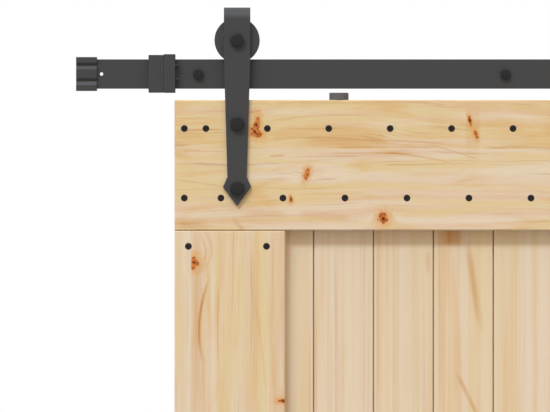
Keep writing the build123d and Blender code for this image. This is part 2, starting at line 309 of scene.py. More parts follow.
def pineLook(name, alongX, seed, tone=0, wild=1, knots=(), streaks=(), seam=None):
    # Planed pine. Its rings are bands of the distance from the tree's middle, and a knot bulges them.
    # wild is 1 for lively flat-sawn grain and less for straighter grain. A knot is (x, z, half width,
    # half height, lean, bulge), a streak is (x, z, half length, half width, lean, bend, strength), and
    # seam is where two staves of a board are glued.
    look = Look(name, "pine")
    x, y, z = look.parts(look.place())
    along, across = (x, z) if alongX else (z, x)
    random.seed(seed)
    shift = [random.uniform(-400, 400) for _ in range(3)]
    stave = 0
    if seam is not None:
        stave = look.maths("GREATER_THAN", across, seam)
        tone = stave * pine["staveTone"] + tone
    oneSided = seam is not None and not alongX  # knots and streaks end at the seam
    grainV = across + shift[1] + stave * pine["staveShift"]
    grain = look.joined(along * wild + shift[0], grainV, y + shift[2])

    def figure(kind, **how):
        long, wide, start = pine[kind]
        return look.noise(grain * (1 / long, 1 / wide, 1 / wide) + start, 1, **how)

    near, bulges = 99, 0
    for kx, kz, halfWide, halfHigh, lean, bulge in knots:
        dx, dz = x - kx, z - kz
        leant = dx - dz * lean
        far = (leant * leant / halfWide ** 2 + dz * dz / halfHigh ** 2) ** 0.5
        near = look.maths("MINIMUM", near, far)
        du, dv = (dx, dz) if alongX else (dz, dx)
        reach = halfHigh if alongX else halfWide
        spread = du * du / (reach * 3.4) ** 2 + dv * dv / (reach * 1.7) ** 2 + 1
        bulges = bulges + bulge * reach / (spread * spread)

    bends = figure("wander", detail=3, rough=0.45) * pine["wanderBy"] * wild
    ring = grainV + bends + figure("ripple", detail=3) * pine["rippleBy"] * wild + bulges
    depth = y + pine["pithDepth"]
    radius = (ring * ring + depth * depth) ** 0.5
    broad = look.bands(radius, 1 / pine["broadRings"], detail=3, rough=0.6)
    fine = look.bands(radius + 900, 1 / pine["fineRings"], rough=0.6)
    edges = look.maths("ABSOLUTE", fine - 0.5)
    shown = figure("shown", detail=3, rough=0.6)
    yellow = figure("yellow", detail=4, warp=0.5)
    patches = figure("patches", detail=4, warp=0.7)
    fibre = figure("fibre", detail=3, rough=0.6)
    fuzz = figure("fuzz", detail=4, rough=0.65) - 0.5

    lively, rosy = 0.6 + 0.4 * wild, 0.2 + 0.8 * wild
    colour = look.mix(look.ramp(broad, 0.36, 0.64) * rosy, pine["cream"], pine["rose"])
    colour = look.mix(look.ramp(yellow + tone, 0.42, 0.66) * 0.85 * lively, colour, pine["straw"])
    warm = look.ramp(patches + (broad - 0.5) * 0.5 + tone, 0.5, 0.76)
    colour = look.mix(warm * 0.75 * lively, colour, pine["honey"])
    lines = look.ramp(edges, 0.055, 0) * look.ramp(shown, 0.48, 0.68)
    colour = look.mix(lines * 0.5 * lively, colour, pine["line"])
    colour = look.mix(look.ramp(fibre, 0.45, 0.85) * 0.2, colour, pine["line"])

    resin = 0
    for sx, sz, halfLong, halfWide, lean, bend, strength in streaks:
        du, dv = (x - sx, z - sz) if alongX else (z - sz, x - sx)
        off = (dv - du * lean - du * du * bend + fuzz * 1.1) / halfWide
        off = off * off
        ends = look.ramp(du * du, halfLong ** 2, (halfLong * 0.3) ** 2, 0, strength)
        resin = resin + ends / (1 + off * off)
    if streaks:
        faded = look.ramp(shown, 0.3, 0.6, 0.55, 1)
        if oneSided:
            faded = faded * stave
        colour = look.mix(resin * faded, colour, pine["resin"])

    body = 0
    if knots:
        if oneSided:
            near = near + (1 - stave) * 99
        mottle = look.noise(look.joined(x, y, z) * (1 / pine["mottle"]), 1) - 0.5
        body = look.ramp(near + mottle * 1.5 + fuzz * 0.4, 1.15, 0.8)
        halo = look.ramp(near + mottle * 2.4, 2.9, 0.9)
        core = look.ramp(near + mottle * 1.6, 0.32, 0.1)
        inside = look.mix(look.ramp(mottle, -0.09, 0.1), pine["knotRim"], pine["knot"])
        colour = look.mix(halo * 0.7, colour, pine["halo"])
        colour = look.mix(body * 0.92, colour, inside)
        colour = look.mix(core, colour, pine["knotCore"])

    nx, _, nz = look.parts(look.node("ShaderNodeTexCoord", out="Normal"))
    facing = nx if alongX else nz
    endOn = look.ramp(facing * facing, 0.5, 0.9)
    colour = look.mix(endOn * look.ramp(fine, 0.3, 0.7, 0.5, 0.95), colour, pine["endGrain"])
    look.set(
        BaseColor=colour,
        Roughness=look.ramp(fibre, 0.2, 0.8, 0.56, 0.68),
        SpecularIORLevel=0.12,
        Normal=look.bump(fibre * 0.6 + lines * 0.5 - body * 0.4, 0.12),
    )
    return look


def uneven(look, base, spread, first, second, roughness, play, height, depth, specular, metallic=0):
    # Two patterns make the tone uneven, and the gloss by as much as play says.
    dark, light = ([c * k for c in base] + [1] for k in (1 - spread, 1 + spread))
    look.set(
        BaseColor=look.mix(first * 0.6 + second * 0.4, dark, light),
        Roughness=look.ramp(
            first * 0.5 + second * 0.5, 0.3, 0.7, roughness - play, roughness + play + 0.01),
        Metallic=metallic,
        SpecularIORLevel=specular,
        Normal=look.bump(height, depth),
    )
    return look


def coatLook(name, slot, base, spread, roughness, grainSize, depth):
    # A coated or moulded surface: an even tone with a fine skin.
    look = Look(name, slot)
    skin = look.noise(look.place(), 1 / grainSize, detail=3, rough=0.55)
    cloud = look.noise(look.place(), 1 / 38, detail=3)
    return uneven(look, base, spread, cloud, skin, roughness, 0.05, skin, depth, 0.35)


def turnedLook(name, slot, base, roughness, metallic, pitch, specular=0.5):
    # A turned face: rings round the axis, which the mesh carries as the number fromAxis.
    look = Look(name, slot)
    radius = look.node("ShaderNodeAttribute", {"attribute_name": "fromAxis"}, out="Fac") * (1 / mm)
    tool = look.bands(radius, 1 / pitch, rough=0.7)
    cloud = look.noise(look.place(), 1 / 9, detail=3)
    return uneven(look, base, 0.16, tool, cloud, roughness, 0.07, tool, 0.02, specular, metallic)


steel = coatLook("powderCoat", "black_steel", (0.04, 0.04, 0.0402), 0.09, 0.52, 0.9, 0.025)
plastic = coatLook("mouldedPlastic", "black_plastic", (0.04, 0.04, 0.04), 0.08, 0.5, 0.5, 0.02)
rubber = coatLook("mouldedRubber", "black_rubber", (0.042, 0.042, 0.042), 0.1, 0.66, 0.35, 0.02)
nylon = coatLook("guideNylon", "guide_nylon", (0.036, 0.036, 0.036), 0.08, 0.42, 0.6, 0.01)
seal = coatLook("bearingSeal", "bearing_steel", (0.02, 0.02, 0.02), 0.1, 0.6, 0.5, 0.01)
boltCoat = turnedLook("blackBolt", "black_bolt", (0.0105, 0.0105, 0.0108), 0.46, 0, 0.35, 0.26)
screwCoat = turnedLook("blackScrew", "black_bolt", (0.017, 0.013, 0.013), 0.5, 0, 0.3, 0.25)
discCoat = turnedLook("satinDisc", "grey_disc", (0.125, 0.122, 0.121), 0.55, 0, 0.5, 0.16)
bright = turnedLook("groundSteel", "bearing_steel", (0.55, 0.55, 0.56), 0.24, 1, 0.12)


print("mesh tools")


def rounded(points, radii, steps=5):
    # An outline with its corners rounded. radii is one number, or one for each corner.
    if not hasattr(radii, "__len__"):
        radii = [radii] * len(points)
    result = []
    for i, (point, radius) in enumerate(zip(points, radii)):
        here = Vector(point)
        before = (Vector(points[i - 1]) - here).normalized()
        after = (Vector(points[(i + 1) % len(points)]) - here).normalized()
        turn = math.pi - before.angle(after)
        if radius <= 0 or turn < 0.01:
            result.append(here)
            continue
        middle = here + (before + after).normalized() * radius / math.cos(turn / 2)
        start = here + before * radius * math.tan(turn / 2) - middle
        way = math.copysign(1, (-before).cross(after))
        for k in range(steps + 1):
            result.append(middle + Matrix.Rotation(way * turn * k / steps, 2) @ start)
    return result


def joinRows(solid, rows, around=True):
    # Faces between each row of corners and the next; around closes the rows.
    for first, second in zip(rows, rows[1:]):
        for k in range(len(first) if around else len(first) - 1):
            n = (k + 1) % len(first)
            solid.faces.new(list(dict.fromkeys((first[k], first[n], second[n], second[k]))))


def inFrame(solid, frameOf):
    bmesh.ops.recalc_face_normals(solid, faces=solid.faces)
    solid.transform(frameOf)
    return solid


def prism(outline, low, high, frameOf=Matrix()):
    # A solid on an outline, from low to high along the frame's third axis.
    solid = bmesh.new()
    rings = [[solid.verts.new((*point, height)) for point in outline] for height in (low, high)]
    solid.faces.new(list(reversed(rings[0])))
    solid.faces.new(rings[1])
    joinRows(solid, rings)
    return inFrame(solid, frameOf)


def lathe(profile, frameOf, steps, closed=False):
    # A turned solid. profile is a list of (radius, height); closed joins its last point to its first.
    solid = bmesh.new()
    axis = solid.verts.layers.float.new("fromAxis")
    rings, angles = [], [2 * math.pi * k / steps for k in range(steps)]
    for radius, height in profile:
        if radius:
            ring = [solid.verts.new((radius * math.cos(a), radius * math.sin(a), height)) for a in angles]
        else:
            ring = [solid.verts.new((0, 0, height))] * steps
        for vert in ring:
            vert[axis] = radius * mm
        rings.append(ring)
    joinRows(solid, rings + rings[:1] if closed else rings)
    return inFrame(solid, frameOf)


def oblong(left, right, low, high):
    return [(left, low), (right, low), (right, high), (left, high)]


def rod(radius, start, end, frameOf, steps):
    return lathe([(0, start), (radius, start), (radius, end), (0, end)], frameOf, steps)


def tube(inner, outer, start, end, edge, frameOf, steps):
    ring = rounded(oblong(inner, outer, start, end), edge, steps=2)
    return lathe(ring, frameOf, steps, closed=True)


def towards(x, z, depth):
    # Frame of something that faces the room: its first two axes are x and z, and its third comes forward.
    return Matrix.Translation((x, -depth, z)) @ Matrix.Rotation(math.pi / 2, 4, "X")


def inwards(x, z, depth):
    # The same for a thread: its third axis goes back towards the wall.
    return Matrix.Translation((x, -depth, z)) @ Matrix.Rotation(-math.pi / 2, 4, "X")


def upwards(x, depth, z):
    return Matrix.Translation((x, -depth, z))


def sideways(x):
    # Frame whose axes are y, z and x: an outline seen along the rail.
    return Matrix.Translation((x, 0, 0)) @ Matrix(((0, 0, 1, 0), (1, 0, 0, 0), (0, 1, 0, 0), (0, 0, 0, 1)))


def together(*solids):
    # One bmesh from several, which are used up.
    result = solids[0]
    for other in solids[1:]:
        mesh = bpy.data.meshes.new("part")
        other.to_mesh(mesh)
        other.free()
        result.from_mesh(mesh)
        bpy.data.meshes.remove(mesh)
    return result


def objectOf(solid, name):
    mesh = bpy.data.meshes.new(name)
    solid.transform(Matrix.Scale(mm, 4))
    solid.to_mesh(mesh)
    solid.free()
    return inScene(name, mesh)


def applied(made):
    # Works the modifiers into the mesh.
    ready = made.evaluated_get(bpy.context.evaluated_depsgraph_get())
    mesh = bpy.data.meshes.new_from_object(ready)
    made.modifiers.clear()
    made.data = mesh
    return made


def cut(made, *cutters):
    # Takes solids away from an object's mesh.
    tool = objectOf(together(*cutters), "cutter")
    part = made.modifiers.new("cut", "BOOLEAN")
    part.operation = "DIFFERENCE"
    part.solver = "EXACT"
    part.object = tool
    applied(made)
    bpy.data.objects.remove(tool)


def eased(made, size, steps=2, limit=40):
    # Rounds the edges that are sharper than limit degrees.
    bevel = made.modifiers.new("ease", "BEVEL")
    bevel.width = size * mm
    bevel.segments = steps
    bevel.limit_method = "ANGLE"
    bevel.angle_limit = math.radians(limit)
    bevel.use_clamp_overlap = True
    return applied(made)


def shaded(made, angle=32):
    # Smooth shading up to an angle, with flat faces kept flat.
    mesh = made.data
    solid = bmesh.new()
    solid.from_mesh(mesh)
    for face in solid.faces:
        face.smooth = True
    for edge in solid.edges:
        edge.smooth = len(edge.link_faces) == 2 and edge.calc_face_angle(0) < math.radians(angle)
    solid.to_mesh(mesh)
    solid.free()
    weigh = made.modifiers.new("weigh", "WEIGHTED_NORMAL")
    weigh.keep_sharp = True
    return applied(made)


def placed(made, look, body, *nodes):
    # Gives a piece its finish and the body that it moves with, and hides the solids that it replaces.
    made.data.materials.clear()
    made.data.materials.append(look.material)
    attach(made, body)
    if nodes:
        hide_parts(*nodes)


def piece(solid, name, look, body, *nodes, ease=0, steps=2, limit=40, cutters=(), angle=32):
    made = objectOf(solid, name)
    if ease:
        eased(made, ease, steps, limit)
    if cutters:
        cut(made, *cutters)
    placed(shaded(made, angle), look, body, *nodes)


print("fasteners")

hexagons = {
    "cornerRound": 0.5,
    "crownSlope": 0.5,  # how fast a head's turned top falls off
    "crownFlat": 0.94,  # its flat, as a share of the flats
    "innerRing": 0.18,  # radius of the middle face, as a share of the flats
    "steps": 9,  # along each of the six sides
}


def hexCorners(flats, upright):
    angles = [math.radians(60 * k + (30 if upright else 0)) for k in range(6)]
    return [(flats / math.sqrt(3) * math.cos(a), flats / math.sqrt(3) * math.sin(a)) for a in angles]


def hexOutline(flats, upright):
    soft = rounded(hexCorners(flats, upright), hexagons["cornerRound"], steps=3)
    result = []
    for i, point in enumerate(soft):
        following = soft[(i + 1) % len(soft)]
        count = hexagons["steps"] if (following - point).length > 1 else 1
        result += [point.lerp(following, k / count) for k in range(count)]
    return result


def hexSolid(flats, height, upright, frameOf, bore=0, bothEnds=False):
    # A bolt head or nut whose corners are turned off to a shallow cone.
    outline, flat = hexOutline(flats, upright), flats / 2 * hexagons["crownFlat"]
    inner = bore or flats * hexagons["innerRing"]
    # Each row's radius (0 is the outline's own), its height, and how it follows the corners' fall.
    levels = [(inner, height, 0), (flat, height, 0), (0, height, -1),
              (0, 0, int(bothEnds)), (flat, 0, 0), (inner, 0, 0)]
    solid = bmesh.new()
    axis = solid.verts.layers.float.new("fromAxis")
    rows = []
    for radius, level, follows in levels:
        row = []
        for point in outline:
            reach = radius or point.length
            fall = max(0, point.length - flat) * hexagons["crownSlope"]
            vert = solid.verts.new((*(point.normalized() * reach), level + follows * fall))
            vert[axis] = reach * mm
            row.append(vert)
        rows.append(row)
    if bore:
        rows.append(rows[0])
    else:
        solid.faces.new(rows[0])
        solid.faces.new(list(reversed(rows[-1])))
    joinRows(solid, rows)
    return inFrame(solid, frameOf)


threads = {
    "wave": ((0, 0), (0.12, 1), (0.5, 1), (0.62, 0)),  # places in a turn, and how high the crest is there
    "fade": 0.8,  # turns in which the crest comes up at each end
    "tip": 0.06,  # radius at the end of a point, as a share
}


def threaded(major, core, pitch, length, point, frameOf, steps):
    # A shank with a cut thread along its third axis, from 0 to length; point is how much of it tapers.
    solid = bmesh.new()
    axis = solid.verts.layers.float.new("fromAxis")
    rows, fade, tip = [], pitch * threads["fade"], threads["tip"]
    for turn in range(-1, int(length / pitch) + 2):
        for wave, rise in threads["wave"]:
            row = []
            for k in range(steps + 1):
                z = min(max((turn + wave + k / steps) * pitch, 0), length)
                radius = core + (major - core) * rise * max(0, min(1, z / fade, (length - z) / fade))
                if point:
                    radius *= min(1, tip + (1 - tip) * (length - z) / point)
                angle = 2 * math.pi * k / steps
                vert = solid.verts.new((radius * math.cos(angle), radius * math.sin(angle), z))
                vert[axis] = radius * mm
                row.append(vert)
            rows.append(row)
    joinRows(solid, rows, around=False)
    bmesh.ops.remove_doubles(solid, verts=solid.verts, dist=0.0005)
    ends = [edge for edge in solid.edges if len(edge.link_faces) == 1]
    bmesh.ops.holes_fill(solid, edges=ends)
    return inFrame(solid, frameOf)


screws = {
    "head": 9.2,  # across
    "under": 3.6,  # across, below the head
    "headDepth": 2.9,
    "sunk": 0.15,  # head's top below the wood
    "rim": 0.35,  # rounded edge of the head
    "slotWidth": 1.4,
    "slotReach": 2.9,
    "slotDepth": 1.7,
    "slotTaper": 0.5,
    "shank": 9,  # how much of it is made, inside the wood
    "clearance": 0.12,  # round the head
    "steps": 40,
}


def screwMesh():
    # One countersunk screw with a cross recess, its head's top at height 0.
    radius, under, rim = screws["head"] / 2, screws["under"] / 2, screws["rim"]
    profile = [(0, 0), (radius - rim, 0), (radius - rim * 0.3, -rim * 0.3), (radius, -rim),
               (under, -screws["headDepth"]), (under, -screws["shank"]), (0, -screws["shank"])]
    body = objectOf(lathe(profile, Matrix(), screws["steps"]), "screw")
    half, reach = screws["slotWidth"] / 2, screws["slotReach"]
    corners, arm = [], [(reach, -half), (reach, half), (half, half)]
    for _ in range(4):  # a quarter turn for each arm
        corners += arm
        arm = [(-y, x) for x, y in arm]
    recess = prism(corners, -screws["slotDepth"], 1)
    for vert in recess.verts:
        if vert.co.z < 0:
            vert.co.x *= screws["slotTaper"]
            vert.co.y *= screws["slotTaper"]
    cut(body, recess)
    mesh = body.data
    bpy.data.objects.remove(body)
    return mesh


screwShape = screwMesh()


def screwsAt(places, depth, name, body, faceUp=False):
    # Copies of the screw, each turned by its own angle, with heads just under a face.
    random.seed(name)
    solid = bmesh.new()
    for x, z in places:
        one = bmesh.new()
        one.from_mesh(screwShape)
        one.transform(Matrix.Scale(1 / mm, 4))
        turn = Matrix.Rotation(random.uniform(0, math.pi / 2), 4, "Z")
        stand = upwards(x, depth, z) if faceUp else towards(x, z, depth - screws["sunk"])
        one.transform(stand @ turn)
        solid = together(solid, one)
    piece(solid, name, screwCoat, body)


def sinks(places, depth):
    # The countersunk holes that the screws sit in.
    gap = screws["clearance"]
    radius, under = screws["head"] / 2 + gap, screws["under"] / 2 + gap
    bottom = screws["sunk"] + screws["headDepth"] + gap
    profile = [(0, 1), (radius, 1), (radius, -screws["sunk"] - screws["rim"]),
               (under, -bottom), (under, -screws["shank"] - 1), (0, -screws["shank"] - 1)]
    return [lathe(profile, towards(x, z, depth), 32) for x, z in places]


print("boards")

leaf = {
    "chamfer": 1.6,  # along the edges of the front boards
    "joint": 0.45,  # gap at each end of a stile
    "seamChamfer": 0.5,
    "seamGap": 1.6,
    "seamShift": 0.25,  # how far to the right the seams stand
    "tongue": (7, 6),  # length and thickness
    "tongueGap": 0.15,
    "pitch": 81.66,
    # each row of screws: its distance from the leaf's top or bottom, its first screw and their pitch
    "rows": ((38.9, 42.8, 83.6), (133.5, 63.2, 84.4)),
    "rowCount": 11,
    "rowInset": 13.4,  # of one more screw at each end
    "stileColumns": (18.9, 125.2),
    "stileInset": 21.6,
    "stileRows": 4,
}
leafLow = boxOf("bottom_board")[0]
leafHigh = boxOf("top_board")[1]
leafWidth = leafHigh.x - leafLow.x
leafFront = -leafLow.y  # depth of the leaf's face


def rowPlaces(height):
    # Both rows of screws of a horizontal board; height turns a distance from the edge into z.
    places = []
    for depth, start, pitch in leaf["rows"]:
        across = [leaf["rowInset"], leafWidth - leaf["rowInset"]]
        across += [start + pitch * k for k in range(leaf["rowCount"])]
        places += [(leafLow.x + x, height(depth)) for x in across]
    return places


def stilePlaces(node, mirrored):
    low, high = boxOf(node)
    first, last = low.z + leaf["stileInset"], high.z - leaf["stileInset"]
    rows = [first + (last - first) * k / (leaf["stileRows"] - 1) for k in range(leaf["stileRows"])]
    columns = [high.x - c if mirrored else low.x + c for c in leaf["stileColumns"]]
    return [(x, z) for x in columns for z in rows]


def makeFrontBoard(node, name, look, places, joint=0):
    low, high = boxOf(node)
    low.z += joint
    high.z -= joint
    solid = prism(oblong(low.x, high.x, low.z, high.z), 0, high.y - low.y, towards(0, 0, -high.y))
    piece(solid, name, look, "door", node, ease=leaf["chamfer"], steps=1, cutters=sinks(places, leafFront))
    screwsAt(places, leafFront, name + "Screws", "door")


# The knots and streaks near the left end of the top board, near the top of the left stile and on the
# fourth and fifth panel boards are the photograph's own. The others are made up.
topKnots = [
    (-757.2, -68.8, 4.4, 10.5, 0.1, 1.4), (-758.5, -80, 7.6, 6.4, -0.3, 0.5),
    (-689, -136.6, 3.6, 7.2, 0.2, 1.2), (-710.6, -170.8, 2, 4, 0, 0.8),
    (-584.4, -196.2, 6.6, 7.2, 0, -2.6), (-466.6, -64, 2.2, 6, -0.2, 1.6),
    (-459, -82.5, 2.8, 5.4, -0.3, 1.2), (-290, -120, 7, 9, 0.2, 1.5),
    (-95, -175, 4, 7, 0, -1.4),
]
bottomKnots = [
    (-640, -2050, 5, 9, 0.1, 1.5), (-330, -2000, 8, 10, 0, -1.4), (-60, -2090, 4, 6, 0, 1.5),
]
leftKnots = [
    (-843.4, -257, 6.8, 8, 0, 2.6), (-720.5, -445.3, 7.6, 2.8, 0, -1.8),
    (-800, -905, 8, 6, 0, 1.6), (-756, -1490, 6, 8, 0, -1.6),
]
topStreaks = [
    (-842, -60.7, 34, 0.9, 0, 0, 0.4), (-834, -76.4, 36, 0.9, 0.02, 0, 0.75),
    (-829, -105, 38, 0.8, -0.02, 0, 0.45), (-671, -56.6, 80, 0.9, 0.057, -0.0008, 0.45),
    (-684, -74.3, 52, 0.8, 0, 0.0002, 0.4), (-653, -90, 44, 0.9, 0.02, 0, 0.4),
    (-589, -99.5, 90, 0.8, 0, -0.0002, 0.6), (-603, -107.7, 76, 0.9, 0, -0.0002, 0.55),
    (-660, -112.3, 60, 0.7, 0.01, 0, 0.4), (-729, -111.5, 13, 1.2, 0.06, 0, 0.6),
    (-555, -91.3, 84, 0.9, -0.05, -0.0006, 0.5), (-533, -113, 54, 0.9, -0.16, -0.0008, 0.5),
    (-490, -105, 44, 0.9, -0.3, -0.001, 0.45), (-835, -148.5, 38, 1.1, -0.14, 0, 0.4),
    (-706, -156, 78, 0.9, 0, 0.0005, 0.3), (-743, -189, 32, 5, -0.05, 0, 0.33),
    (-665, -193, 42, 5, -0.12, 0, 0.3), (-843, -204, 26, 7, 0, 0, 0.33),
    (-781, -206, 10, 3.2, -1, 0, 0.4), (-463, -76, 12, 24, 0, 0, 0.32),
    (-585, -94, 150, 4, 0, -0.0002, 0.25), (-610, -108.5, 110, 4.5, 0, 0, 0.22),
]
leftStreaks = [
    (-834.6, -335, 64, 1.7, 0.079, 0.0027, 0.8), (-810, -345, 60, 0.9, 0, 0.0003, 0.6),
    (-829, -430, 66, 2.4, 0, 0, 0.2), (-818.5, -240, 36, 1.8, 0, -0.014, 0.35),
    (-826.5, -246, 32, 1.4, 0.05, -0.012, 0.35), (-750.5, -370, 78, 1.3, -0.12, -0.0003, 0.25),
    (-838, -350, 170, 6, 0, 0, 0.42), (-724, -380, 330, 6, 0, 0, 0.26),
]
rightKnots = [(-20, -620, 8, 6, 0, 1.6), (40, -1300, 6, 8, 0, -1.5)]
topLook = pineLook("pineTop", True, 11, 0, 1, topKnots, topStreaks, -101.8)
makeFrontBoard("top_board", "topBoard", topLook, rowPlaces(lambda depth: leafHigh.z - depth))
bottomLook = pineLook("pineBottom", True, 12, 0, 1, bottomKnots)
makeFrontBoard("bottom_board", "bottomBoard", bottomLook, rowPlaces(lambda depth: leafLow.z + depth))
leftLook = pineLook("pineLeft", False, 13, -0.1, 0.5, leftKnots, leftStreaks, -846)
makeFrontBoard("stile_left", "stileLeft", leftLook, stilePlaces("stile_left", False), leaf["joint"])
rightLook = pineLook("pineRight", False, 14, -0.03, 0.6, rightKnots)
makeFrontBoard("stile_right", "stileRight", rightLook, stilePlaces("stile_right", True), leaf["joint"])


def seamSide(x, front, back, way):
    # A board's side at a seam: the tongue when way is -1, the groove when it is 1.
    c, (reach, thick), gap = leaf["seamChamfer"], leaf["tongue"], max(0, way) * leaf["tongueGap"]
    low, high = (front + back - thick) / 2 - gap, (front + back + thick) / 2 + gap
    lip, deep = x + way * leaf["seamGap"] / 2, x + reach + 2 * gap
    corners = [(lip + way * c, front), (lip, front + c), (lip, low), (deep, low),
               (deep, high), (x, high), (x, back - c), (x + way * c, back)]
    return corners[::-way]


panel = {
    "boards": 11,
    "wild": 0.22,
    "tones": (0, 0, 0, -0.07, -0.07, 0.06, 0, -0.05, 0.03, -0.03, 0.04, 0, 0),
    # by the number of the board
    "knots": {
        4: [(-560, -980, 6, 8, 0, 1.5)],
        6: [(-385, -560, 5, 7, 0, -1.5)],
        8: [(-215, -1450, 7, 7, 0, 1.4)],
        10: [(-70, -1150, 5, 6, 0, 1.5)],
    },
    "streaks": {
        4: [(-566, -420, 420, 2.6, 0, 0, 0.25), (-544, -400, 420, 4, 0, 0, 0.18),
            (-523.5, -256, 18, 2.8, 0, 0, 0.3), (-579.7, -275, 60, 0.8, 0, 0, 0.25)],
        5: [(-460.6, -290, 70, 4.2, -0.154, 0, 0.6), (-469.5, -438, 34, 2.6, -0.476, 0, 0.6),
            (-491, -219, 18, 12, 0, 0, 1)],
    },
}


def makePanel():
    low, high = boxOf("panel_board_01")
    front, back, count = low.y, high.y, panel["boards"]
    first = leafLow.x + (leafWidth - count * leaf["pitch"]) / 2 + leaf["seamShift"]
    seams = [first + leaf["pitch"] * i for i in range(count + 1)]
    tongues, grooves = ([seamSide(x, front, back, way) for x in seams] for way in (-1, 1))
    outlines = {"edge_strip_left": tongues[0] + [(leafLow.x, back), (leafLow.x, front)]}
    for i in range(count):
        outlines[f"panel_board_{i + 1:02d}"] = tongues[i + 1] + grooves[i]
    outlines["edge_strip_right"] = [(leafHigh.x, front), (leafHigh.x, back)] + grooves[count]
    for i, (node, outline) in enumerate(outlines.items()):
        look = pineLook(f"pine_{node}", False, 20 + i, panel["tones"][i], panel["wild"],
                        panel["knots"].get(i, ()), panel["streaks"].get(i, ()))
        solid = prism(outline, low.z, high.z)
        piece(solid, f"{node}.planed", look, "door", node)


makePanel()

print("rail")

railNode = frame["nodes"]["rail"]
railNode.data.materials.clear()
railNode.data.materials.append(steel.material)
railLow, railHigh = boxOf("rail")
railFront = -railLow.y
boltPlaces = [mount["pos_m"][0] / mm for mount in frame["record"]["mounts"] if mount["kind"] == "pin"]

fixings = {
    # thread: radius of its core, pitch, length of its point, steps round it
    "bolt": {"flats": 13, "head": 5.3, "upright": True,
             "shank": 4, "steps": 40, "thread": (2.9, 3.4, 8, 40)},
    "threadLength": 56,
    "spacerBore": 4.25,
    "spacerEdge": 0.6,
}


def boltAt(bolt, x, z, depth, plain, length):
    # Head, plain shank and thread of a bolt whose head sits at a depth.
    stand = towards(x, z, depth)
    core, pitch, point, steps = bolt["thread"]
    return [
        hexSolid(bolt["flats"], bolt["head"], bolt["upright"], stand),
        rod(bolt["shank"], 0, -plain, stand, bolt["steps"]),
        threaded(bolt["shank"], core, pitch, length - plain, point, inwards(x, z, depth - plain), steps),
    ]


def railHole(start, end, gap, frameOf):
    # The rail with a gap round it, to be cut out of what sits on it.
    corners = oblong(railLow.y - gap, railHigh.y + gap, railLow.z - gap, railHigh.z + gap)
    return prism(corners, start, end, frameOf)


def makeRailFixings():
    length = railFront + boxOf("wall_bolts")[1].y
    spacer = boxOf("rail_spacers")
    bolts, spacers = [], []
    for x in boltPlaces:
        bolts += boltAt(fixings["bolt"], x, 0, railFront, length - fixings["threadLength"], length)
        spacers.append(tube(fixings["spacerBore"], spacer[1].z, 0, -spacer[0].y,
                            fixings["spacerEdge"], towards(x, 0, 0), 72))
    piece(together(*bolts), "wallBolts", boltCoat, "track", "wall_bolts")
    piece(together(*spacers), "railSpacers", steel, "track", "rail_spacers")


makeRailFixings()

caps = {
    "wall": 3,
    "gap": 0.15,  # round the rail
    "flutes": ((15.4, 8.8), (-5.6, 9.5)),  # top and height of each
    "fluteDepth": 3,
    "fluteBottom": 0.47,  # deepest point, as a share of a flute's height
    "fluteRound": 0.8,
    "frontRound": 1,
    "backRound": 2,
    "easing": 0.7,
}


def makeEndCap(side, way):
    low, high = boxOf(f"end_cap_{side}")
    front, back, top = low.y, high.y, high.z
    outline, radii = [(back, top), (front, top)], [caps["backRound"], caps["frontRound"]]
    for start, height in caps["flutes"]:
        deepest = start - height * caps["fluteBottom"]
        outline += [(front, start), (front + caps["fluteDepth"], deepest), (front, start - height)]
        radii += [caps["fluteRound"]] * 3
    outline += [(front, -top), (back, -top)]
    radii += [caps["frontRound"], caps["backRound"]]
    width = high.x - low.x
    start, end = (caps["wall"], width + 1) if way > 0 else (-1, width - caps["wall"])
    stand = sideways(low.x)
    hole = railHole(start, end, caps["gap"], stand)
    piece(prism(rounded(outline, radii, 4), 0, width, stand), f"endCap_{side}", plastic, "track",
          f"end_cap_{side}", ease=caps["easing"], limit=50, cutters=[hole])


makeEndCap("left", 1)
makeEndCap("right", -1)

stops = {
    "gap": 0.2,
    "easing": 0.8,
    "bufferEasing": 1.2,
    "lineInset": 3.8,
    "lineHeight": 31,
    "lineWidth": 0.9,
    "lineDepth": 0.4,
    "ribHeights": (12.4, -6.6),
    "ribThickness": 2,
    "ribReach": 4.5,
    "ribRoot": 2,  # how far a rib starts inside the buffer
    "ribInset": 1,
    "ribRound": 0.9,
    "ribEasing": 0.35,
    "screw": 3,  # radius of the set screw's hole
    "screwGap": 0.1,
    "screwSunk": 0.6,
    "screwEdge": 0.4,
    "key": 3,
    "keyDepth": 3.4,
}


